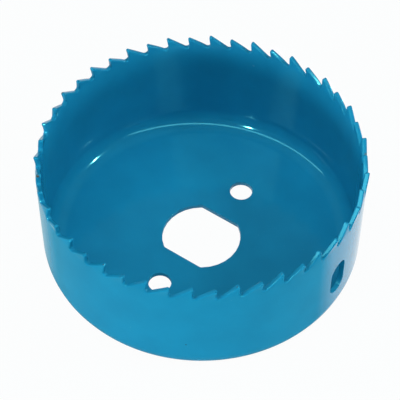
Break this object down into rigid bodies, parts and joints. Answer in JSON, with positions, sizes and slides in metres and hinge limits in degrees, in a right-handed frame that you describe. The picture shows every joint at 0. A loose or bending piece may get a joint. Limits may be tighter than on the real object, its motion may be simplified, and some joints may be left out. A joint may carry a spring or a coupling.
{
  "type": "hole saw",
  "caption": "Shallow painted steel cup with alternately set saw teeth round its rim, a double-D arbor hole, drive-pin holes and a slot in the wall.",
  "frame": {"origin": "centre of the flat back face, on the cutting axis", "axes": "+Z along the cutting axis towards the tooth tips, the two drive-pin holes on X, the wall slot facing -Y"},
  "size_m": [0.0769, 0.0771, 0.031],
  "materials": {
    "cup_paint": "gloss teal-blue paint"
  },
  "bodies": {
    "root": {"toothed_cup": "cup_paint"}
  },
  "joints": []
}
